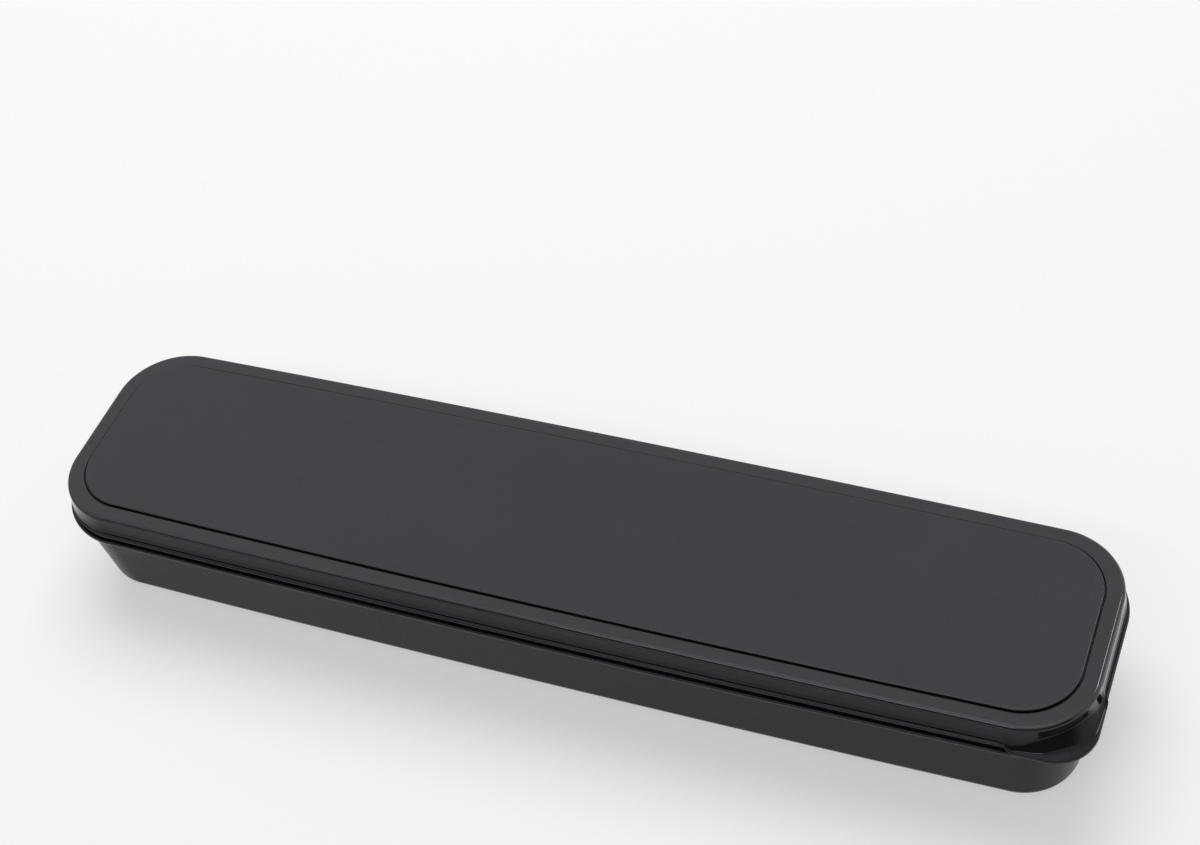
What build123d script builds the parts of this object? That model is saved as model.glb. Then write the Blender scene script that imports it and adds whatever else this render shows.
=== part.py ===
from math import asin, atan, cos, degrees, pi, sin, sqrt
import os

from build123d import *

# Travel cutlery box: an open tray with three wells, and a lid that presses over its rim.
# The origin is the middle of the plane that it rests on. X runs along the box, the front is -Y, Z is up.
# Every outline in plan is the flange's own outline, drawn in by an inset from its edge.

# Flange outline, the widest line of the box
length = 230.0
width = 53.8
corner_radius = 16.0
side_bow = 0.8

# Heights of the tray
foot_height = 1.5
recess_height = 3.0
floor_height = 4.6
flange_underside = 21.4
flange_thickness = 1.1
groove_height = 0.7
bead_height = 0.5
bead_slope_height = 0.8
rim_top = 28.4

# Outside of the tray
wall_top_inset = 1.4
wall_bottom_inset = 4.4
wall_bottom_rounding = 2.2
foot_inset = 5.9
foot_width = 1.6
foot_root = 1.0
groove_inset = 1.3
bead_inset = 0.6
rim_inset = 2.3
flange_rounding = 0.25
rim_rounding = 0.3

# Inside of the tray
mouth_inset = 3.4
floor_inset = 4.7
floor_rounding = 4.2
divider_place = 53.7
divider_height = 2.1
divider_top_width = 4.2
divider_base_width = 8.6
divider_top_rounding = 0.9
divider_root = 0.6
divider_end_gap = 0.2

# Lid
plate_thickness = 1.1
plate_inset = 1.1
shoulder_rounding = 1.0
shoulder_drop = 1.8
skirt_clearance = 0.2
skirt_end_gap = 0.4
skirt_end_inset = 0.7
skirt_flare_inset = 0.95
skirt_flare_height = 1.1
panel_inset = 5.0
panel_corner_radius = 12.0
panel_rise = 0.5
panel_rounding = 0.3

# Thumb tab at the lid's front right corner, measured from the centre of the flange's corner arc
tab_clearance = 0.3
tab_reach = 16.4
tab_corner_radius = 8.8
tab_lip_thickness = 1.05
tab_lip_chamfer = 0.25
tab_root_reach = 14.1
tab_root_land = 0.6
tab_root_rise = 2.8
tab_run = 1.5
tab_run_slant = 1.2
tab_run_rounding = 2.0
tab_web_steps = 5

# Heights and insets that follow
flange_top = flange_underside + flange_thickness
groove_top = flange_top + groove_height
bead_top = groove_top + bead_height
slope_top = bead_top + bead_slope_height
skirt_end = slope_top + skirt_end_gap
skirt_inset = rim_inset - skirt_clearance
plate_top = rim_top + plate_thickness
shoulder_foot = plate_top - shoulder_drop
tab_bottom = flange_top + tab_clearance
lip_top = tab_bottom + tab_lip_thickness
tab_root_radius = tab_root_reach - tab_run - tab_root_land


def corner_arc(inset, radius):
    """Centre of a corner arc from the box's middle, and the angle from the side's normal where it ends."""
    chord = length / 2 - corner_radius
    flange_side_radius = (chord**2 + side_bow**2) / (2 * side_bow)
    side_centre = width / 2 - flange_side_radius
    gap = flange_side_radius - inset - radius
    along = length / 2 - inset - radius
    return along, side_centre + sqrt(gap**2 - along**2), asin(along / gap)


def outline(inset, radius=None):
    """Face of the box's outline in plan, drawn in by an inset: straight ends and slightly bowed sides."""
    if radius is None:
        radius = corner_radius - inset
    end = length / 2 - inset
    along, across, tilt = corner_arc(inset, radius)
    turn = 90 - degrees(tilt)
    side_start = (along + radius * sin(tilt), across + radius * cos(tilt))
    with BuildSketch(mode=Mode.PRIVATE) as plan:
        with BuildLine():
            Line((end, 0), (end, across))
            CenterArc((along, across), radius, 0, turn)
            ThreePointArc(side_start, (0, width / 2 - inset), (-side_start[0], side_start[1]))
            CenterArc((-along, across), radius, 180 - turn, turn)
            Line((-end, across), (-end, 0))
            mirror(about=Plane.XZ)
        make_face()
    return plan.sketch


def lobe(reach, radius):
    """Face of the thumb tab's outline in plan: its corner, and two runs that slant back into the skirt."""
    along, across, _ = corner_arc(0, corner_radius)
    near = reach - tab_run_slant
    front_start = (along - tab_run, -across - near)
    end_start = (along + near, -across + tab_run)
    with BuildSketch(mode=Mode.PRIVATE) as plan:
        with BuildLine():
            FilletPolyline(
                front_start,
                (along + tab_run, -across - reach),
                (along + reach, -across - reach),
                (along + reach, -across - tab_run),
                end_start,
                radius=[tab_run_rounding, radius, tab_run_rounding],
            )
            Polyline(end_start, (along, -across), front_start)
        make_face()
    return plan.sketch


# Space inside the tray, with the rounding along the foot of its wall
with BuildPart() as cavity:
    with BuildSketch(Plane.XY.offset(floor_height)):
        add(outline(floor_inset))
    with BuildSketch(Plane.XY.offset(rim_top)):
        add(outline(mouth_inset))
    loft(ruled=True)
    fillet(cavity.edges().group_by(Axis.Z)[0], floor_rounding)

# Tray
with BuildPart() as tray:
    with BuildSketch(Plane.XY.offset(foot_height)):
        add(outline(wall_bottom_inset))
    with BuildSketch(Plane.XY.offset(flange_underside)):
        add(outline(wall_top_inset))
    loft(ruled=True)
    fillet(tray.edges().group_by(Axis.Z)[0], wall_bottom_rounding)

    # Flange with both its edges rounded
    with BuildSketch(Plane.XY.offset(flange_underside)):
        add(outline(0))
    extrude(amount=flange_thickness)
    fillet(tray.edges().group_by(Axis.Z)[-1], flange_rounding)

    # Foot ring
    with BuildSketch():
        add(outline(foot_inset))
    extrude(amount=foot_height + foot_root)
    with BuildSketch():
        add(outline(foot_inset + foot_width))
    extrude(amount=recess_height, mode=Mode.SUBTRACT)

    # Groove, bead, slope and rim above the flange
    with BuildSketch(Plane.XY.offset(flange_top)):
        add(outline(groove_inset))
    extrude(amount=groove_height)
    with BuildSketch(Plane.XY.offset(groove_top)):
        add(outline(bead_inset))
    extrude(amount=bead_height)
    with BuildSketch(Plane.XY.offset(bead_top)):
        add(outline(bead_inset))
    with BuildSketch(Plane.XY.offset(slope_top)):
        add(outline(rim_inset))
    loft(ruled=True)
    with BuildSketch(Plane.XY.offset(slope_top)):
        add(outline(rim_inset))
    extrude(amount=rim_top - slope_top)

    # Hollow, and the rounding of the rim's lip
    add(cavity.part, mode=Mode.SUBTRACT)
    fillet(tray.edges().group_by(Axis.Z)[-1], rim_rounding)

    # Two low dividers across the floor, with S-shaped sides; they end inside the rounding at the wall's foot
    half_base = divider_base_width / 2
    half_top = divider_top_width / 2
    side_turn = 2 * atan(divider_height / (half_base - half_top))
    base_rounding = (half_base - half_top) / sin(side_turn) - divider_top_rounding
    half_run = width / 2 - floor_inset - divider_end_gap
    with BuildSketch(Plane.XZ.offset(-half_run)):
        with Locations((-divider_place, floor_height), (divider_place, floor_height)):
            with BuildSketch(mode=Mode.PRIVATE) as profile:
                with BuildLine():
                    CenterArc((-half_base, base_rounding), base_rounding, -90, degrees(side_turn))
                    top_centre = (-half_top, divider_height - divider_top_rounding)
                    CenterArc(top_centre, divider_top_rounding, 90, degrees(side_turn))
                    Line((-half_top, divider_height), (0, divider_height))
                    Polyline((-half_base, 0), (-half_base, -divider_root), (0, -divider_root))
                    mirror(about=Plane.YZ)
                make_face()
            add(profile.sketch)
    extrude(amount=2 * half_run)

# Lid
with BuildPart() as lid:
    # Skirt, flared out towards its lower edge
    with BuildSketch(Plane.XY.offset(skirt_end)):
        add(outline(skirt_end_inset))
    with BuildSketch(Plane.XY.offset(skirt_end + skirt_flare_height)):
        add(outline(skirt_flare_inset))
    with BuildSketch(Plane.XY.offset(shoulder_foot)):
        add(outline(plate_inset))
    loft(ruled=True)

    # Top plate and its raised panel
    with BuildSketch(Plane.XY.offset(shoulder_foot)):
        add(outline(plate_inset))
    extrude(amount=plate_top - shoulder_foot)
    fillet(lid.edges().group_by(Axis.Z)[-1], shoulder_rounding)
    with BuildSketch(Plane.XY.offset(plate_top)):
        add(outline(panel_inset, panel_corner_radius))
    extrude(amount=panel_rise)
    fillet(lid.edges().group_by(Axis.Z)[-1], panel_rounding)

    # Thumb tab: a lip with chamfered edges, then a web that curves up to the skirt
    lip_chamfered = (tab_reach - tab_lip_chamfer, tab_corner_radius - tab_lip_chamfer)
    with BuildSketch(Plane.XY.offset(tab_bottom)):
        add(lobe(*lip_chamfered))
    with BuildSketch(Plane.XY.offset(tab_bottom + tab_lip_chamfer)):
        add(lobe(tab_reach, tab_corner_radius))
    with BuildSketch(Plane.XY.offset(lip_top - tab_lip_chamfer)):
        add(lobe(tab_reach, tab_corner_radius))
    for step in range(tab_web_steps + 1):
        share = step / tab_web_steps
        reach = lip_chamfered[0] + share * (tab_root_reach - lip_chamfered[0])
        radius = lip_chamfered[1] + share * (tab_root_radius - lip_chamfered[1])
        with BuildSketch(Plane.XY.offset(lip_top + tab_root_rise * (1 - cos(share * pi / 2)))):
            add(lobe(reach, radius))
    loft(ruled=True)

    # Room for the tray's bead, slope and rim
    with BuildSketch(Plane.XY.offset(tab_bottom)):
        add(outline(bead_inset - tab_clearance))
    extrude(amount=bead_top + tab_clearance - tab_bottom, mode=Mode.SUBTRACT)
    with BuildSketch(Plane.XY.offset(bead_top + tab_clearance)):
        add(outline(bead_inset - tab_clearance))
    with BuildSketch(Plane.XY.offset(skirt_end)):
        add(outline(skirt_inset))
    loft(ruled=True, mode=Mode.SUBTRACT)
    with BuildSketch(Plane.XY.offset(skirt_end)):
        add(outline(skirt_inset))
    extrude(amount=rim_top - skirt_end, mode=Mode.SUBTRACT)

os.makedirs("parts", exist_ok=True)
tray.part.label = "tray"
lid.part.label = "lid"
export_step(tray.part, "parts/tray.step")
export_step(lid.part, "parts/lid.step")
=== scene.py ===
from math import acos, asin, atan, atan2, cos, pi, radians, sin, sqrt, tan

import bmesh
import bpy
from mathutils import Matrix, Vector


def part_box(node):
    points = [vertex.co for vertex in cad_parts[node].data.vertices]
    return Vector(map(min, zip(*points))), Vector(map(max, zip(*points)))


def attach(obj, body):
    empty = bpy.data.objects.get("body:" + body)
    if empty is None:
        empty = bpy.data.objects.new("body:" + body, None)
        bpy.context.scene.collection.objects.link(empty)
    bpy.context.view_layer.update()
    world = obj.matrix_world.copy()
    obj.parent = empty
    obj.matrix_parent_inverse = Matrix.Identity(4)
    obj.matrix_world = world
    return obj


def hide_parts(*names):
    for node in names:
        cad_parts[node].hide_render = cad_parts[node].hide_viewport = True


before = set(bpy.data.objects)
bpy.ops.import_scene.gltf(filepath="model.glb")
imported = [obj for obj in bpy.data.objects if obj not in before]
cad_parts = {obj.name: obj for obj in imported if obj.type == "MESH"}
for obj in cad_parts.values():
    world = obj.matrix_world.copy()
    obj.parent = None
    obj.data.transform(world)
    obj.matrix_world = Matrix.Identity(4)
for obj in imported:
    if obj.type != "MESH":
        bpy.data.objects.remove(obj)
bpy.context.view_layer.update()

# Sizes in millimetres, in the frame's own axes: X runs along the box, the front is -Y, Z is up.
# An inset is measured inwards from the flange's edge, the widest line of the box.
MM = 0.001
_, tray_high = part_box("tray")
_, lid_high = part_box("lid")
HALF_LENGTH = tray_high.x / MM
HALF_WIDTH = tray_high.y / MM
RIM_TOP = tray_high.z / MM
PANEL_TOP = lid_high.z / MM
CORNER_RADIUS = 16.0
SIDE_BOW = 0.8
FOOT = 1.5
RECESS = 3.0
FLOOR = 4.6
FLANGE_LOW = 21.4
FLANGE_TOP = 22.5
GROOVE_TOP = 23.2
BEAD_TOP = 23.7
SLOPE_TOP = 24.5
WALL_TOP_INSET = 1.4
WALL_BOTTOM_INSET = 4.4
WALL_BOTTOM_ROUNDING = 2.2
FOOT_INSET = 5.9
FOOT_WIDTH = 1.6
GROOVE_INSET = 1.3
BEAD_INSET = 0.6
RIM_INSET = 2.3
MOUTH_INSET = 3.4
WALL_FOOT_INSET = 4.25
COVE_RADIUS = 6.3
COVE_TURN = 0.92
CREASE_ROUNDING = 0.35
BOTTOM_STEPS = 12
COVE_STEPS = 20
FLAT_BEFORE_GRID = 1.5

DIVIDER_PLACE = 53.7
DIVIDER_HEIGHT = 2.1
DIVIDER_HALF_TOP = 2.1
DIVIDER_HALF_BASE = 4.3
DIVIDER_TOP_ROUNDING = 0.9
DIVIDER_WALL_FILLET = 0.9
FULL_FILLET_RISE = 0.6

PLATE_TOP = 29.5
PLATE_INSET = 1.1
PANEL_INSET = 5.0
PANEL_CORNER_EXTRA = 1.0
PANEL_FLAT_BEFORE_GRID = 2.0
PANEL_GROOVE_DEPTH = 0.4
PANEL_GROOVE_WIDTH = 0.3
SHOULDER_ROUNDING = 1.0
SHOULDER_FOOT = 27.7
SKIRT_END = 24.9
SKIRT_END_INSET = 0.7
SKIRT_FLARE_INSET = 0.95
SKIRT_FLARE_TOP = 26.0
SKIRT_INNER_INSET = 2.1
SKIRT_ROW_HEIGHTS = (SHOULDER_FOOT, 27.1, 26.5, SKIRT_FLARE_TOP, 25.8, 25.6, 25.4, 25.25)

# Thumb tab, measured from the centre of the flange's corner arc
TAB_LOW = 22.8
TAB_LIP_TOP = 23.85
TAB_LIP_ROUNDING = 0.25
TAB_REACH = 16.4
TAB_CORNER = 8.8
TAB_ROOT_REACH = 14.1
TAB_ROOT_CORNER = 12.0
TAB_ROOT_RISE = 2.8
TAB_RUN = 1.5
TAB_ROOM_INSET = 0.3
TAB_ROOM_TOP = 24.0
WEB_STEPS = 10
WEB_OVER_SKIRT_END = 0.12

# Stations round a quarter of an outline: shares of the straight end from its middle to the corner, closer
# together where the tab begins; steps of the corner's arc; and places along a long side, to which those of
# the dividers are added unless they are nearly the same
END_SHARES = [0.0, 0.1, 0.2, 0.3, 0.4, 0.5, 0.59, 0.67, 0.74, 0.8, 0.85, 0.9, 0.95]
ARC_STEPS = 44
NEAR_CORNER = [98.8, 98.4, 98.0, 97.6, 97.1, 96.5, 95.7, 94.5, 92.5, 90, 87, 84, 80, 76, 72, 68, 64, 61]
NEAR_MIDDLE = [46.5, 42, 36, 30, 24, 18, 12, 6, 0]
DIVIDER_SIDE_STEPS = 8
DIVIDER_TOP_STATION = 0.7
LEAST_STATION_GAP = 0.06

# Black plastics: darkest and lightest colour, least and greatest roughness, height of the grain, width of its
# bumps and height of the waviness in metres, and specular level
# These are copies of one black plastic: the first is lighter, as painted light, and the outside and rim
# blacks are darker, as painted shade
GLOSS_BLACK_PAINTED_LIGHT = ((0.0125, 0.0123, 0.0150), (0.0175, 0.0170, 0.0205))
OUTSIDE_BLACK_PAINTED_SHADE = ((0.0065, 0.0065, 0.0068), (0.0095, 0.0095, 0.0099))
PANEL_BLACK = ((0.0085, 0.0082, 0.0112), (0.0130, 0.0125, 0.0165))
RIM_BLACK_PAINTED_SHADE = ((0.006, 0.006, 0.007), (0.009, 0.009, 0.0105))
# The polished tray and lid materials carry the lighter black as painted light; the tray's satin wall, its rim
# and the lid's skirt carry darker blacks and weaker specular levels as painted shade, while their roughness
# and grain are real
FINISHES_WITH_PAINTED_LIGHT_AND_SHADE = {
    "tray_gloss_painted_light": (*GLOSS_BLACK_PAINTED_LIGHT, 0.035, 0.075, 1.5e-7, 4e-4, 4e-5, 0.5),
    "tray_satin_painted_shade": (*OUTSIDE_BLACK_PAINTED_SHADE, 0.24, 0.34, 2.5e-6, 3e-4, 2e-5, 0.1),
    "tray_rim_painted_shade": (*RIM_BLACK_PAINTED_SHADE, 0.06, 0.1, 2e-7, 4e-4, 2e-5, 0.25),
    "lid_gloss_painted_light": (*GLOSS_BLACK_PAINTED_LIGHT, 0.06, 0.11, 2e-7, 4e-4, 3e-5, 0.5),
    "lid_satin": (*PANEL_BLACK, 0.2, 0.3, 1.5e-6, 3e-4, 2e-5, 0.5),
    "lid_skirt_painted_shade": (*RIM_BLACK_PAINTED_SHADE, 0.06, 0.1, 2e-7, 4e-4, 2e-5, 0.18),
}

# Material numbers on either shell, where 0 is the polished one and the darkest one is painted shade, and how
# many rings of the lid's shoulder are dark like its skirt, with the same painted shade
SATIN = 1
PAINTED_SHADE = 2
SHOULDER_PAINTED_SHADE_ROWS = 3

# What all the plastics share: the cool tint of their gloss, which is a painted reflection colour, and the
# scales of their clouds, scuffs and swells
PAINTED_REFLECTION_TINT = (0.99, 0.97, 1.05, 1)
CLOUDS_PER_METRE = 45.0
SCUFFS_PER_METRE = 260.0
SCUFF_STRETCH = 7.0
SWELLS_PER_METRE = 22.0

# Floor: its colour, the share of plain white that it shows near the box, and the distances in metres between
# which that share grows to all of it
FLOOR_COLOUR = (0.97, 0.97, 0.97, 1)
FLOOR_WHITE = 0.45
FLOOR_NEAR = 0.2
FLOOR_FAR = 0.8

# Studio: strengths, and angles in degrees; a turn is measured from the front towards the right
WORLD_FILL = 0.35
OVERHEAD_LIGHT = 1.7
OVERHEAD_FROM = 56.0
OVERHEAD_TO = 78.0
FLAG_LIGHT = 0.12
FLAG_LOW = 15.0
FLAG_TOP = 47.0
FLAG_LEFT = -25.0
FLAG_SLANT = 12.0
FLAG_RIGHT = 70.0
FLAG_FADE = 20.0
FLAG_EDGE_IN_RADIANS = 0.01
LAMP_LIGHT = 12.0
LAMP_TURN = 141.0
LAMP_WIDTH = 7.0
LAMP_HEIGHT = 45.0
LAMP_DEPTH = 4.0

# Camera, as the photograph's view of the box: lens, frame width and place in millimetres, and the directions
# of the picture's right side and of the camera's back
LENS = 66.5
FRAME_WIDTH = 36.0
CAMERA_PLACE = (150.2, -257.8, 383.4)
CAMERA_RIGHT = (0.9297, 0.3479, -0.1209)
CAMERA_BACK = (0.3188, -0.5957, 0.7372)

chord = HALF_LENGTH - CORNER_RADIUS
SIDE_RADIUS = (chord**2 + SIDE_BOW**2) / (2 * SIDE_BOW)
SIDE_CENTRE = HALF_WIDTH - SIDE_RADIUS
DIVIDER_TURN = 2 * atan(DIVIDER_HEIGHT / (DIVIDER_HALF_BASE - DIVIDER_HALF_TOP))
DIVIDER_BASE_ROUNDING = (DIVIDER_HALF_BASE - DIVIDER_HALF_TOP) / sin(DIVIDER_TURN) - DIVIDER_TOP_ROUNDING


def smooth(t):
    """Eases a share from 0 to 1."""
    t = max(0.0, min(1.0, t))
    return t * t * (3 - 2 * t)


def lerp(a, b, t):
    return a + (b - a) * t


# Stations round an outline

def side_stations():
    """Places along a long side from the corner to the middle, closer together at a divider and at the tab."""
    dividers = {DIVIDER_PLACE - DIVIDER_TOP_STATION, DIVIDER_PLACE + DIVIDER_TOP_STATION}
    for step in range(DIVIDER_SIDE_STEPS + 1):
        turn = DIVIDER_TURN * step / DIVIDER_SIDE_STEPS
        for edge in (
            DIVIDER_HALF_BASE - DIVIDER_BASE_ROUNDING * sin(turn),
            DIVIDER_HALF_TOP + DIVIDER_TOP_ROUNDING * sin(turn),
        ):
            dividers |= {round(DIVIDER_PLACE - edge, 4), round(DIVIDER_PLACE + edge, 4)}
    places = []
    for place in sorted([*NEAR_CORNER, *dividers, *NEAR_MIDDLE], reverse=True):
        if not places or places[-1] - place > LEAST_STATION_GAP:
            places.append(place)
    return places


STATIONS = [("end", share) for share in END_SHARES]
END_COUNT = len(STATIONS)
STATIONS += [("arc", n / ARC_STEPS) for n in range(ARC_STEPS + 1)]
STATIONS += [("side", place) for place in side_stations()]
QUARTER = len(STATIONS) - 1
ROUND = 4 * QUARTER


def station_point(kind, share, inset, corner_extra=0.0):
    """Place in plan of a station in the back right quarter of the outline at an inset."""
    radius = CORNER_RADIUS - inset + corner_extra
    along = HALF_LENGTH - inset - radius
    gap = SIDE_RADIUS - inset - radius
    across = SIDE_CENTRE + sqrt(gap**2 - along**2)
    tilt = asin(along / gap)
    if kind == "end":
        return HALF_LENGTH - inset, across * share
    if kind == "arc":
        turn = (pi / 2 - tilt) * share
        return along + radius * cos(turn), across + radius * sin(turn)
    x = share * (along + radius * sin(tilt)) / chord
    return x, SIDE_CENTRE + sqrt((SIDE_RADIUS - inset) ** 2 - x**2)


def ring(inset, z, corner_extra=0.0, front_right=None):
    """Closed ring of points at an inset and height, from the middle of the right end and by the back.
    front_right, if given, lists another (inset, z) for each station of the front right quarter."""
    plain = [(*station_point(*station, inset, corner_extra), z) for station in STATIONS]
    last = plain
    if front_right:
        last = [(*station_point(*station, d), h) for station, (d, h) in zip(STATIONS, front_right)]
    points = plain[:-1]
    points += [(-x, y, h) for x, y, h in plain[:0:-1]]
    points += [(-x, -y, h) for x, y, h in plain[:-1]]
    points += [(x, -y, h) for x, y, h in last[:0:-1]]
    if front_right:
        points[0] = last[0]
    return points


# Sections

def rounded(corners):
    """Section through corners (inset, height, rounding, steps), with each corner rounded by an arc."""
    points = []
    for n, (inset, z, rounding, steps) in enumerate(corners):
        if rounding == 0:
            points.append((inset, z))
            continue
        here = Vector((inset, z))
        back = (Vector(corners[n - 1][:2]) - here).normalized()
        ahead = (Vector(corners[n + 1][:2]) - here).normalized()
        half = acos(back.dot(ahead)) / 2
        centre = here + (back + ahead).normalized() * rounding / sin(half)
        first = here + back * rounding / tan(half) - centre
        last = here + ahead * rounding / tan(half) - centre
        start = atan2(first.y, first.x)
        turn = (atan2(last.y, last.x) - start + pi) % (2 * pi) - pi
        for step in range(steps + 1):
            angle = start + turn * step / steps
            points.append((centre.x + rounding * cos(angle), centre.y + rounding * sin(angle)))
    return points


def tray_section():
    """The tray's section from its underside, round the outside, over the rim and down to the floor."""
    slope = (WALL_BOTTOM_INSET - WALL_TOP_INSET) / (FLANGE_LOW - FOOT)
    rounding = WALL_BOTTOM_ROUNDING
    centre_z = FOOT + rounding
    centre_inset = WALL_BOTTOM_INSET - rounding * slope + rounding * sqrt(1 + slope**2)
    foot_turn = acos((FOOT_INSET - centre_inset) / rounding)
    turns = [lerp(-foot_turn, -pi + atan(slope), step / BOTTOM_STEPS) for step in range(BOTTOM_STEPS + 1)]
    bottom = [(centre_inset + rounding * cos(a), centre_z + rounding * sin(a)) for a in turns]
    foot_inner = FOOT_INSET + FOOT_WIDTH
    foot = rounded([
        (foot_inner + FLAT_BEFORE_GRID, RECESS, 0, 0),
        (foot_inner, RECESS, 0.4, 4),
        (foot_inner, 0.0, 0.3, 4),
        (FOOT_INSET, 0.0, 0.4, 5),
        (*bottom[0], 0, 0),
    ])
    cove_centre = WALL_FOOT_INSET + COVE_RADIUS * sin(COVE_TURN)
    cove = []
    for step in range(COVE_STEPS + 1):
        turn = COVE_TURN * (1 - step / COVE_STEPS)
        cove.append((cove_centre - COVE_RADIUS * sin(turn), FLOOR + COVE_RADIUS * (1 - cos(turn))))
    upper = rounded([
        (*bottom[-1], 0, 0),
        (WALL_TOP_INSET, FLANGE_LOW, 0.35, 4),
        (0.0, FLANGE_LOW, 0.55, 6),
        (0.0, FLANGE_TOP, 0.28, 5),
        (GROOVE_INSET, FLANGE_TOP, 0.12, 3),
        (GROOVE_INSET, GROOVE_TOP, 0.12, 3),
        (BEAD_INSET, GROOVE_TOP, 0.14, 3),
        (BEAD_INSET, BEAD_TOP, 0.2, 4),
        (RIM_INSET, SLOPE_TOP, 0.3, 4),
        (RIM_INSET, RIM_TOP, 0.34, 6),
        (MOUTH_INSET, RIM_TOP, 0.34, 6),
        (*cove[0], CREASE_ROUNDING, 6),
        (*cove[1], 0, 0),
    ])
    return foot[:-1] + bottom + upper[1:] + cove[2:] + [(cove[-1][0] + FLAT_BEFORE_GRID, FLOOR)]


def divider_rise(x):
    """Height of the dividers over the floor at x: flat tops with S-shaped sides."""
    off = abs(abs(x) - DIVIDER_PLACE)
    if off <= DIVIDER_HALF_TOP:
        return DIVIDER_HEIGHT
    if off >= DIVIDER_HALF_BASE:
        return 0.0
    if off <= DIVIDER_HALF_TOP + DIVIDER_TOP_ROUNDING * sin(DIVIDER_TURN):
        drop = DIVIDER_TOP_ROUNDING - sqrt(DIVIDER_TOP_ROUNDING**2 - (off - DIVIDER_HALF_TOP) ** 2)
        return DIVIDER_HEIGHT - drop
    return DIVIDER_BASE_ROUNDING - sqrt(DIVIDER_BASE_ROUNDING**2 - (DIVIDER_HALF_BASE - off) ** 2)


def inside_height(x, z):
    """Raises a point of the tray's inside on to a divider, with a thin fillet against the wall."""
    rise = divider_rise(x)
    if rise == 0:
        return z
    top = FLOOR + rise
    fillet = DIVIDER_WALL_FILLET * min(1.0, rise / FULL_FILLET_RISE)
    near = max(fillet - abs(z - top), 0.0)
    return max(z, top) + near**2 / (4 * fillet)


# Thumb tab

def lobe_distance(turn, reach, corner):
    """Distance from the corner arc's centre to a square with one rounded corner, at an angle off its side."""
    flat = reach - corner
    near_axis = min(turn, pi / 2 - turn)
    if reach * tan(near_axis) <= flat:
        return reach / cos(near_axis)
    s = cos(turn) + sin(turn)
    return flat * s + sqrt(corner**2 - flat**2 * (2 - s**2))


def skirt_inset(z):
    """Inset of the skirt's outer face at a height."""
    if z >= SKIRT_FLARE_TOP:
        share = (z - SKIRT_FLARE_TOP) / (SHOULDER_FOOT - SKIRT_FLARE_TOP)
        return lerp(SKIRT_FLARE_INSET, PLATE_INSET, share)
    return lerp(SKIRT_END_INSET, SKIRT_FLARE_INSET, (z - SKIRT_END) / (SKIRT_FLARE_TOP - SKIRT_END))


def web_point(turn, share):
    """Inset and height of the tab's web, from the lip at share 0 to its root at share 1."""
    reach = lerp(TAB_REACH - TAB_LIP_ROUNDING, TAB_ROOT_REACH, share)
    corner = lerp(TAB_CORNER - TAB_LIP_ROUNDING, TAB_ROOT_CORNER, share)
    z = TAB_LIP_TOP + TAB_ROOT_RISE * (1 - cos(share * pi / 2))
    return CORNER_RADIUS - lobe_distance(turn, reach, corner), z


def web_top(turn):
    """Height at which the web meets the skirt."""
    low, high = 0.0, 1.0
    for _ in range(30):
        share = (low + high) / 2
        inset, z = web_point(turn, share)
        if inset < skirt_inset(z):
            low = share
        else:
            high = share
    return max(web_point(turn, low)[1], SKIRT_END + WEB_OVER_SKIRT_END)


def tab_section(turn):
    """The lid's section through the tab: skirt, web, lip, and the lip's inner side up to the rim's room."""
    top = web_top(turn)
    points = [(skirt_inset(z), z) for z in (lerp(SHOULDER_FOOT, top, n / 3) for n in range(3))]
    lip_inset = CORNER_RADIUS - lobe_distance(turn, TAB_REACH, TAB_CORNER)
    lip_start = lip_inset + TAB_LIP_ROUNDING
    for n in range(WEB_STEPS + 1):
        share = 1 - n / WEB_STEPS
        inset = lerp(lip_start, skirt_inset(top), share)
        points.append((inset, lerp(TAB_LIP_TOP, top, 1 - cos(share * pi / 2))))
    for centre_z, start in ((TAB_LIP_TOP - TAB_LIP_ROUNDING, 90), (TAB_LOW + TAB_LIP_ROUNDING, 180)):
        for n in range(4):
            angle = radians(start + 30 * n)
            inset = lip_start + TAB_LIP_ROUNDING * cos(angle)
            points.append((inset, centre_z + TAB_LIP_ROUNDING * sin(angle)))
    points += [(TAB_ROOM_INSET, TAB_LOW), (TAB_ROOM_INSET, TAB_ROOM_TOP), (SKIRT_INNER_INSET, SKIRT_END)]
    return points


def skirt_section():
    """The lid's section away from the tab, with as many points: skirt, rounded edge and underside."""
    points = [(skirt_inset(z), z) for z in SKIRT_ROW_HEIGHTS]
    edge = rounded([
        (*points[-1], 0, 0),
        (SKIRT_END_INSET, SKIRT_END, 0.16, 8),
        (SKIRT_INNER_INSET, SKIRT_END, 0, 0),
    ])
    points += edge[1:-1]
    missing = len(tab_section(pi / 4)) - len(points)
    start = points[-1][0]
    points += [(lerp(start, SKIRT_INNER_INSET, n / missing), SKIRT_END) for n in range(1, missing + 1)]
    return points


def tab_weight(kind, share):
    """How far the tab has grown out of the skirt at a station, from 0 to 1."""
    x, y = station_point(kind, share, SKIRT_END_INSET)
    _, across = station_point("arc", 0, SKIRT_END_INSET)
    into_corner = min(x - chord, y - across)
    return max(0.0, min(1.0, (into_corner + TAB_RUN) / (2 * TAB_RUN)))


def lower_lid_rows():
    """Rows of the lid below its shoulder: for each, the plain point and the front right quarter's points."""
    plain = skirt_section()
    quarter = []
    side_turn = pi / 2 - asin(chord / (SIDE_RADIUS - CORNER_RADIUS))
    for kind, share in STATIONS:
        turn = {"end": 0.0, "side": side_turn}.get(kind, share * side_turn)
        weight = tab_weight(kind, share)
        out, down = smooth(1.5 * weight), smooth(1.5 * weight - 0.5)
        section = tab_section(turn) if weight > 0 else plain
        quarter.append([
            (lerp(d, tab_d, out), lerp(z, tab_z, down))
            for (d, z), (tab_d, tab_z) in zip(plain, section)
        ])
    return [(*point, [column[n] for column in quarter]) for n, point in enumerate(plain)]


# Meshes

# How many rings each shell has, by its name
RING_COUNTS = {}


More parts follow.
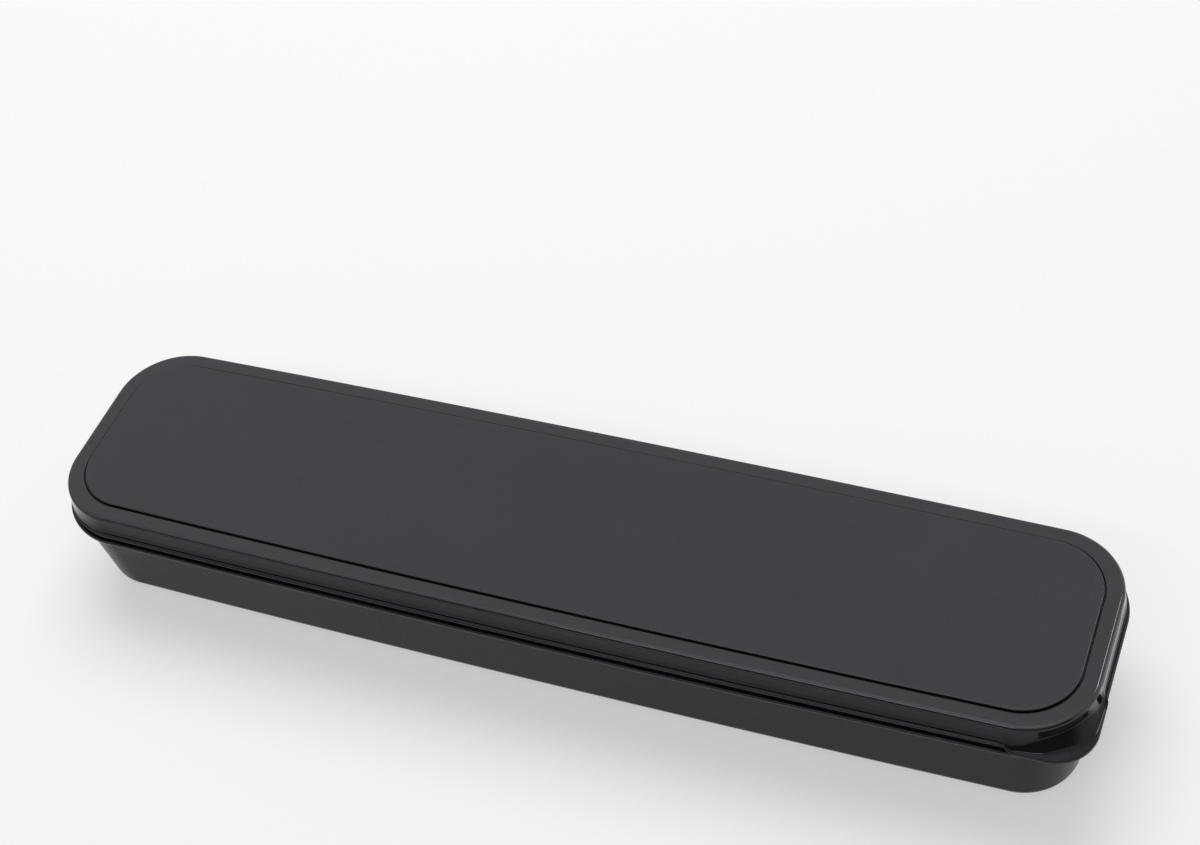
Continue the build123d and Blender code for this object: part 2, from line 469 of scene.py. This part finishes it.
def fill_grid(bm, loop, height):
    """Closes a ring of vertices with columns of vertices from its front to its back."""
    shares = [-1.0] + [-share for share in END_SHARES[:0:-1]] + END_SHARES + [1.0]
    steps = len(shares) - 1
    count = 2 * (QUARTER - END_COUNT) + 1
    grid = []
    for c in range(count):
        back, front = END_COUNT + c, ROUND - END_COUNT - c
        if c == 0:
            grid.append([loop[(front + n) % ROUND] for n in range(steps + 1)])
        elif c == count - 1:
            grid.append([loop[(front - n) % ROUND] for n in range(steps + 1)])
        else:
            low, high = loop[front].co, loop[back].co
            column = [loop[front]]
            for share in shares[1:-1]:
                p = low.lerp(high, (share + 1) / 2)
                column.append(bm.verts.new((p.x, p.y, height(p.x / MM) * MM)))
            grid.append(column + [loop[back]])
    for right, left in zip(grid[:-1], grid[1:]):
        for n in range(steps):
            bm.faces.new((left[n], right[n], right[n + 1], left[n + 1]))


def shell(name, rings, first_height, last_height):
    """A closed mesh through rings of points, with its first and last ring filled by grids.
    Each vertex normal leans to the larger faces beside it, so that flat faces look flat."""
    bm = bmesh.new()
    RING_COUNTS[name] = len(rings)
    loops = [[bm.verts.new((x * MM, y * MM, z * MM)) for x, y, z in points] for points in rings]
    for before, after in zip(loops[:-1], loops[1:]):
        for k in range(ROUND):
            j = (k + 1) % ROUND
            bm.faces.new((before[k], before[j], after[j], after[k]))
    fill_grid(bm, loops[0], first_height)
    fill_grid(bm, loops[-1], last_height)
    bmesh.ops.recalc_face_normals(bm, faces=bm.faces)
    mesh = bpy.data.meshes.new(name)
    bm.to_mesh(mesh)
    bm.free()
    mesh.polygons.foreach_set("use_smooth", [True] * len(mesh.polygons))
    normals = [Vector() for _ in mesh.vertices]
    for polygon in mesh.polygons:
        push = polygon.normal * (polygon.area / MM**2)
        for corner in polygon.vertices:
            normals[corner] += push
    mesh.normals_split_custom_set_from_vertices([normal.normalized() for normal in normals])
    piece = bpy.data.objects.new(name, mesh)
    bpy.context.scene.collection.objects.link(piece)
    return piece


def build_tray():
    section = tray_section()
    rim = max(range(len(section)), key=lambda n: section[n][1])
    rings = []
    for n, (inset, z) in enumerate(section):
        points = ring(inset, z)
        if n > rim:
            points = [(x, y, inside_height(x, h)) for x, y, h in points]
        rings.append(points)
    tray = shell("tray_shell", rings, lambda x: RECESS, lambda x: FLOOR + divider_rise(x))
    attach(tray, "tray")
    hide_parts("tray")
    return tray


def lid_top_section():
    """The lid's section from its panel over the step and the frame to the shoulder's foot."""
    return rounded([
        (PANEL_INSET + PANEL_FLAT_BEFORE_GRID, PANEL_TOP, 0, 0),
        (PANEL_INSET, PANEL_TOP, 0.3, 5),
        (PANEL_INSET, PLATE_TOP - PANEL_GROOVE_DEPTH, 0.08, 2),
        (PANEL_INSET - PANEL_GROOVE_WIDTH, PLATE_TOP - PANEL_GROOVE_DEPTH, 0.08, 2),
        (PANEL_INSET - PANEL_GROOVE_WIDTH, PLATE_TOP, 0.12, 3),
        (PLATE_INSET, PLATE_TOP, SHOULDER_ROUNDING, 10),
        (PLATE_INSET, SHOULDER_FOOT, 0, 0),
    ])[:-1]


def build_lid():
    rings = []
    frame_start = PLATE_INSET + SHOULDER_ROUNDING
    for inset, z in lid_top_section():
        fade = (inset - frame_start) / (PANEL_INSET - frame_start - 0.1)
        rings.append(ring(inset, z, PANEL_CORNER_EXTRA * max(0.0, min(1.0, fade))))
    rings += [ring(inset, z, front_right=quarter) for inset, z, quarter in lower_lid_rows()]
    inner = rounded([
        (SKIRT_INNER_INSET, SKIRT_END, 0, 0),
        (SKIRT_INNER_INSET, RIM_TOP, 0.2, 3),
        (PANEL_INSET, RIM_TOP, 0, 0),
    ])[1:]
    rings += [ring(inset, z) for inset, z in inner]
    lid = shell("lid_shell", rings, lambda x: PANEL_TOP, lambda x: RIM_TOP)
    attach(lid, "lid")
    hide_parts("lid")
    return lid


tray_shell = build_tray()
lid_shell = build_lid()


# Materials

def add_node(tree, kind, settings=(), **inputs):
    """A new shader node with its settings, and its inputs set or linked.
    An input is given by its name, or by i and its number."""
    made = tree.nodes.new(kind)
    for name, value in settings:
        setattr(made, name, value)
    for name, value in inputs.items():
        key = int(name[1:]) if name[0] == "i" and name[1:].isdigit() else name.replace("_", " ")
        if isinstance(value, bpy.types.NodeSocket):
            tree.links.new(value, made.inputs[key])
        else:
            made.inputs[key].default_value = value
    return made


def maths(tree, operation, first, second=0.0):
    """Result of a new node that works out one sum."""
    return add_node(tree, "ShaderNodeMath", [("operation", operation)], i0=first, i1=second).outputs["Value"]


def plastic(name, dark, light, least_rough, most_rough, grain, grain_size, wave, specular):
    """Black moulded plastic: cloudy colour and gloss, faint hairline scuffs, fine grain, slight waviness."""
    material = bpy.data.materials.new(name)
    material.use_nodes = True
    tree = material.node_tree
    shader = tree.nodes["Principled BSDF"]
    # The gloss gets a cool tint: a painted reflection colour
    shader.inputs["Specular Tint"].default_value = PAINTED_REFLECTION_TINT
    shader.inputs["Specular IOR Level"].default_value = specular
    place = add_node(tree, "ShaderNodeTexCoord").outputs["Object"]
    stretch = (1.0, SCUFF_STRETCH, SCUFF_STRETCH)
    stretched = add_node(tree, "ShaderNodeMapping", Vector=place, Scale=stretch).outputs["Vector"]
    cloud = add_node(
        tree, "ShaderNodeTexNoise", Vector=place, Scale=CLOUDS_PER_METRE, Detail=5.0, Roughness=0.6
    )
    scuff = add_node(
        tree, "ShaderNodeTexNoise", Vector=stretched, Scale=SCUFFS_PER_METRE, Detail=3.0, Roughness=0.7
    )
    fine = add_node(tree, "ShaderNodeTexNoise", Vector=place, Scale=1 / grain_size, Detail=2.0)
    swell = add_node(tree, "ShaderNodeTexNoise", Vector=place, Scale=SWELLS_PER_METRE, Detail=1.0)
    tint = add_node(
        tree, "ShaderNodeMix", [("data_type", "RGBA")], i0=cloud.outputs["Fac"], i6=(*dark, 1), i7=(*light, 1)
    )
    tree.links.new(tint.outputs[2], shader.inputs["Base Color"])
    scuffed = add_node(
        tree, "ShaderNodeMapRange", Value=scuff.outputs["Fac"], From_Min=0.56, From_Max=0.8,
        To_Min=0.0, To_Max=0.35,
    )
    worn = add_node(
        tree, "ShaderNodeMath", [("operation", "ADD")], i0=cloud.outputs["Fac"], i1=scuffed.outputs["Result"]
    )
    rough = add_node(
        tree, "ShaderNodeMapRange", Value=worn.outputs["Value"], From_Min=0.3, From_Max=0.85,
        To_Min=least_rough, To_Max=most_rough,
    )
    tree.links.new(rough.outputs["Result"], shader.inputs["Roughness"])
    wavy = add_node(tree, "ShaderNodeBump", Height=swell.outputs["Fac"], Strength=1.0, Distance=wave)
    bump = add_node(
        tree, "ShaderNodeBump", Height=fine.outputs["Fac"], Strength=1.0, Distance=grain,
        Normal=wavy.outputs["Normal"],
    )
    tree.links.new(bump.outputs["Normal"], shader.inputs["Normal"])
    return material


def first_row(section, test, start=0):
    """Number of the first point of a section, from start on, whose inset and height pass a test."""
    return next(n for n in range(start, len(section)) if test(*section[n]))


def paint_rows(piece, first, last, index):
    """Gives the material with that index to the faces between two rings, and to the grid before the first."""
    polygons = piece.data.polygons
    sides = (RING_COUNTS[piece.name] - 1) * ROUND
    grid = 2 * END_COUNT * (2 * (QUARTER - END_COUNT))
    chosen = list(range(first * ROUND, last * ROUND))
    if first == 0:
        chosen += range(sides, sides + grid)
    for n in chosen:
        polygons[n].material_index = index


def finish_tray_with_painted_light_and_shade():
    """Polished inside and bottom edge in a lighter black, painted light inside and a painted highlight line
    on the edge; a satin outer wall and underside whose darker colour and weak reflection are painted shade;
    and a darker flange and rim, also painted shade.
    """
    for name in ("tray_gloss_painted_light", "tray_satin_painted_shade", "tray_rim_painted_shade"):
        tray_shell.data.materials.append(plastic(name, *FINISHES_WITH_PAINTED_LIGHT_AND_SHADE[name]))
    section = tray_section()
    edge_row = first_row(section, lambda inset, z: inset < FOOT_INSET - 0.2 and z > FOOT)
    wall_row = first_row(section, lambda inset, z: z > FOOT + WALL_BOTTOM_ROUNDING + 0.2, edge_row + 1) - 1
    flange_row = first_row(section, lambda inset, z: z > FLANGE_LOW - 0.3)
    lip_row = first_row(section, lambda inset, z: z > RIM_TOP - 0.01)
    # The underside and outer wall get painted shade, the flange and rim a darker painted shade, and the
    # bottom edge between keeps the lighter, polished material as a painted highlight line
    paint_rows(tray_shell, 0, edge_row, SATIN)
    paint_rows(tray_shell, wall_row, flange_row, SATIN)
    paint_rows(tray_shell, flange_row, lip_row, PAINTED_SHADE)


def finish_lid_with_painted_light_and_shade():
    """A satin panel; a polished frame and inside in a lighter black, which is painted light; and a darker
    step, lower shoulder, skirt and tab, which is painted shade.
    """
    for name in ("lid_gloss_painted_light", "lid_satin", "lid_skirt_painted_shade"):
        lid_shell.data.materials.append(plastic(name, *FINISHES_WITH_PAINTED_LIGHT_AND_SHADE[name]))
    top = lid_top_section()
    frame_inset = PANEL_INSET - PANEL_GROOVE_WIDTH
    step_row = first_row(top, lambda inset, z: z < PANEL_TOP - 0.2)
    frame_row = first_row(top, lambda inset, z: inset < frame_inset and z > PLATE_TOP - 0.05)
    # The step round the panel and the lower rings of the shoulder get the darkest material as painted shade,
    # as the skirt and tab do
    paint_rows(lid_shell, 0, step_row, SATIN)
    paint_rows(lid_shell, step_row, frame_row, PAINTED_SHADE)
    paint_rows(lid_shell, len(top) - SHOULDER_PAINTED_SHADE_ROWS, len(top) + len(skirt_section()), PAINTED_SHADE)


finish_tray_with_painted_light_and_shade()
finish_lid_with_painted_light_and_shade()


# Floor, light and camera

def make_floor():
    """A pale floor that keeps the box's shadow near it and turns plain white further away."""
    bm = bmesh.new()
    bmesh.ops.create_grid(bm, x_segments=8, y_segments=8, size=3.0)
    mesh = bpy.data.meshes.new("floor")
    bm.to_mesh(mesh)
    bm.free()
    floor = bpy.data.objects.new("floor", mesh)
    bpy.context.scene.collection.objects.link(floor)
    material = bpy.data.materials.new("floor_white")
    material.use_nodes = True
    tree = material.node_tree
    shader = tree.nodes["Principled BSDF"]
    shader.inputs["Base Color"].default_value = FLOOR_COLOUR
    shader.inputs["Roughness"].default_value = 0.9
    shader.inputs["Specular IOR Level"].default_value = 0.1
    path = add_node(tree, "ShaderNodeLightPath").outputs
    seen = path["Is Camera Ray"]
    for ray in ("Is Glossy Ray", "Is Transmission Ray"):
        seen = maths(tree, "MAXIMUM", seen, path[ray])
    place = add_node(tree, "ShaderNodeTexCoord").outputs["Object"]
    away = add_node(tree, "ShaderNodeVectorMath", [("operation", "LENGTH")], i0=place).outputs["Value"]
    share = add_node(
        tree, "ShaderNodeMapRange", [("interpolation_type", "SMOOTHSTEP")], Value=away,
        From_Min=FLOOR_NEAR, From_Max=FLOOR_FAR, To_Min=FLOOR_WHITE, To_Max=1.0,
    ).outputs["Result"]
    white = add_node(tree, "ShaderNodeEmission", Strength=1.0).outputs["Emission"]
    amount = maths(tree, "MULTIPLY", seen, share)
    mixed = add_node(tree, "ShaderNodeMixShader", i0=amount, i1=shader.outputs["BSDF"], i2=white)
    tree.links.new(mixed.outputs["Shader"], tree.nodes["Material Output"].inputs["Surface"])
    mesh.materials.append(material)


def make_world():
    """A white studio to the camera and in reflections, and a dimmer fill on the surfaces.
    Reflections also show a dark flag low in front, with a slanted left edge, and a lamp at the back right."""
    world = bpy.data.worlds.new("studio")
    bpy.context.scene.world = world
    world.use_nodes = True
    tree = world.node_tree
    path = add_node(tree, "ShaderNodeLightPath").outputs
    away = add_node(tree, "ShaderNodeTexCoord").outputs["Generated"]
    split = add_node(tree, "ShaderNodeSeparateXYZ", Vector=away).outputs
    height = maths(tree, "ARCSINE", split["Z"])
    turn = maths(tree, "ARCTAN2", split["X"], maths(tree, "MULTIPLY", split["Y"], -1.0))

    def ramp(value, start, end, low=0.0, high=1.0):
        """Goes from low to high as a value goes from start to end."""
        made = add_node(
            tree, "ShaderNodeMapRange", Value=value, From_Min=start, From_Max=end, To_Min=low, To_Max=high
        )
        return made.outputs["Result"]

    def near(angle, middle, reach):
        """1 where an angle in radians is within reach degrees of the middle, and 0 elsewhere."""
        off = maths(tree, "ABSOLUTE", maths(tree, "SUBTRACT", angle, radians(middle)))
        return maths(tree, "LESS_THAN", off, radians(reach))

    flag_height = ramp(
        turn, radians(FLAG_LEFT - FLAG_SLANT), radians(FLAG_LEFT), radians(FLAG_LOW), radians(FLAG_TOP)
    )
    over_flag = maths(tree, "SUBTRACT", height, flag_height)
    above = ramp(over_flag, -FLAG_EDGE_IN_RADIANS, FLAG_EDGE_IN_RADIANS)
    beyond = ramp(turn, radians(FLAG_RIGHT), radians(FLAG_RIGHT + FLAG_FADE))
    clear = maths(tree, "MAXIMUM", above, beyond)
    sky = ramp(height, radians(OVERHEAD_FROM), radians(OVERHEAD_TO), 1.0, OVERHEAD_LIGHT)
    beside_lamp, level_with_lamp = near(turn, LAMP_TURN, LAMP_WIDTH), near(height, LAMP_HEIGHT, LAMP_DEPTH)
    in_lamp = maths(tree, "MULTIPLY", beside_lamp, level_with_lamp)
    bright = maths(tree, "MAXIMUM", sky, maths(tree, "MULTIPLY", in_lamp, LAMP_LIGHT))
    mirrored = ramp(clear, 0.0, 1.0, FLAG_LIGHT, bright)
    seen = maths(tree, "MAXIMUM", path["Is Camera Ray"], path["Is Transmission Ray"])
    shown = maths(tree, "MAXIMUM", seen, maths(tree, "MULTIPLY", path["Is Glossy Ray"], mirrored))
    strength = maths(tree, "MAXIMUM", shown, maths(tree, "MULTIPLY", path["Is Diffuse Ray"], WORLD_FILL))
    background = tree.nodes["Background"]
    background.inputs["Color"].default_value = (1, 1, 1, 1)
    tree.links.new(strength, background.inputs["Strength"])


def add_softbox(name, azimuth, elevation, distance, width, height, radiance, colour, in_gloss):
    """A rectangular area light that faces the box; azimuth is measured from the front towards the right."""
    a, e = radians(azimuth), radians(elevation)
    away = Vector((sin(a) * cos(e), -cos(a) * cos(e), sin(e)))
    data = bpy.data.lights.new(name, "AREA")
    data.shape = "RECTANGLE"
    data.size = width
    data.size_y = height
    data.energy = radiance * pi * width * height
    data.color = colour
    light = bpy.data.objects.new(name, data)
    bpy.context.scene.collection.objects.link(light)
    light.location = away * distance
    light.rotation_euler = away.to_track_quat("Z", "Y").to_euler()
    light.visible_glossy = in_gloss
    light.visible_camera = False


def make_lights():
    add_softbox("top_light", 200, 65, 1.1, 0.9, 0.7, 3.8, (1, 1, 1), False)
    add_softbox("front_window", -8, 48.7, 1.2, 0.54, 0.08, 9.0, (0.86, 0.93, 1.0), True)


def make_camera():
    """The photograph's view, with the camera's axes made square to each other."""
    right, back = Vector(CAMERA_RIGHT), Vector(CAMERA_BACK)
    up = back.cross(right).normalized()
    right = up.cross(back).normalized()
    data = bpy.data.cameras.new("camera")
    data.lens = LENS
    data.sensor_width = FRAME_WIDTH
    data.clip_start = 0.01
    camera = bpy.data.objects.new("camera", data)
    bpy.context.scene.collection.objects.link(camera)
    turn = Matrix((right, up, back.normalized())).transposed().to_4x4()
    camera.matrix_world = Matrix.Translation(Vector(CAMERA_PLACE) * MM) @ turn
    bpy.context.scene.camera = camera


make_lights()
make_floor()
make_world()
make_camera()
bpy.context.scene.view_settings.view_transform = "Standard"
